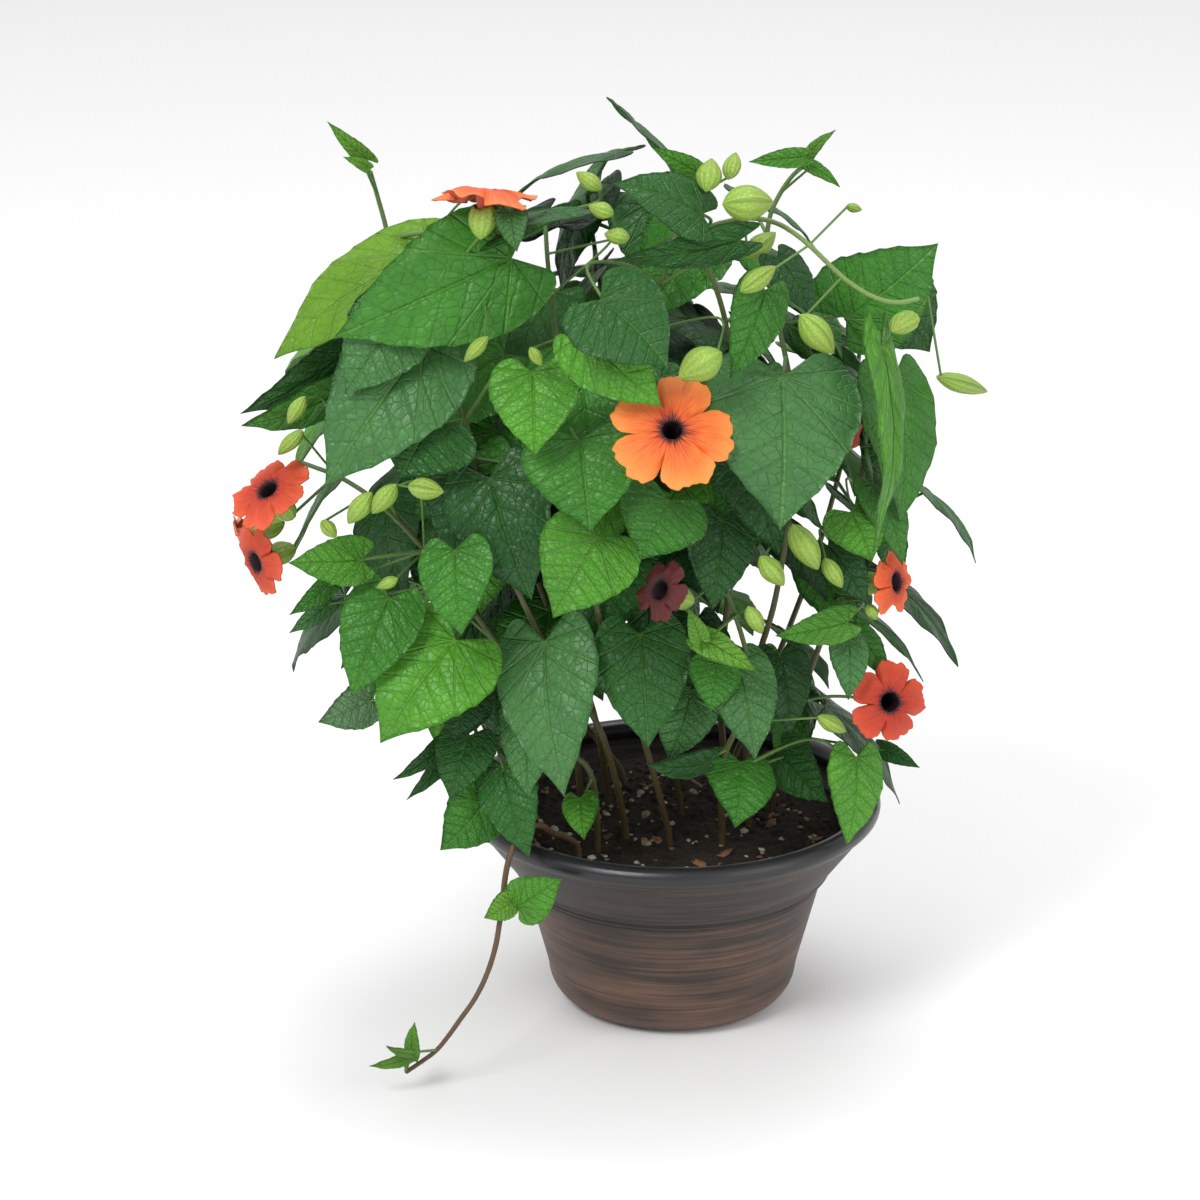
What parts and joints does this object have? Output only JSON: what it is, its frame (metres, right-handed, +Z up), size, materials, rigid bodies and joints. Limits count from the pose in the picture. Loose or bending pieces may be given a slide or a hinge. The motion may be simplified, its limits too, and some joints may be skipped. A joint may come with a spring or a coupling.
{
  "type": "potted black eyed susan vine",
  "caption": "Bushy flowering vine with heart-shaped leaves, orange flowers with dark throats and trailing shoots, standing in a round rolled-rim plastic pot filled with soil.",
  "frame": {"origin": "the middle of the pot's flat foot, on the surface that it stands on", "axes": "Z up along the pot's axis, -Y to the front of the plant, X to the plant's right"},
  "size_m": [0.2909, 0.2238, 0.3693],
  "materials": {
    "pot_plastic": "satin, brown-black, with fine streaks",
    "soil": "rough, dark potting mix with pale grains and bark",
    "leaf": "soft satin, mid green, paler veins",
    "petal": "velvety orange, dark red streaks near a near-black throat"
  },
  "bodies": {
    "root": {"pot": "pot_plastic", "soil": "soil", "vine_top_left": "leaf", "vine_left": "leaf", "vine_mid_left": "leaf", "vine_centre": "leaf", "vine_top": "leaf", "vine_long_shoot": "leaf", "vine_right": "leaf", "vine_far_right": "leaf", "vine_low_right": "leaf", "vine_low_left": "leaf", "vine_trailing": "leaf", "vine_back_left": "leaf", "vine_back": "leaf", "vine_back_right": "leaf", "corolla_hero": "petal", "corolla_low_right": "petal", "corolla_dark_centre": "petal", "corolla_right": "petal", "corolla_top_left": "petal", "corolla_left_upper": "petal", "corolla_left_faded": "petal", "corolla_left_lower": "petal", "corolla_back_left": "petal", "corolla_back_right": "petal"}
  },
  "joints": []
}
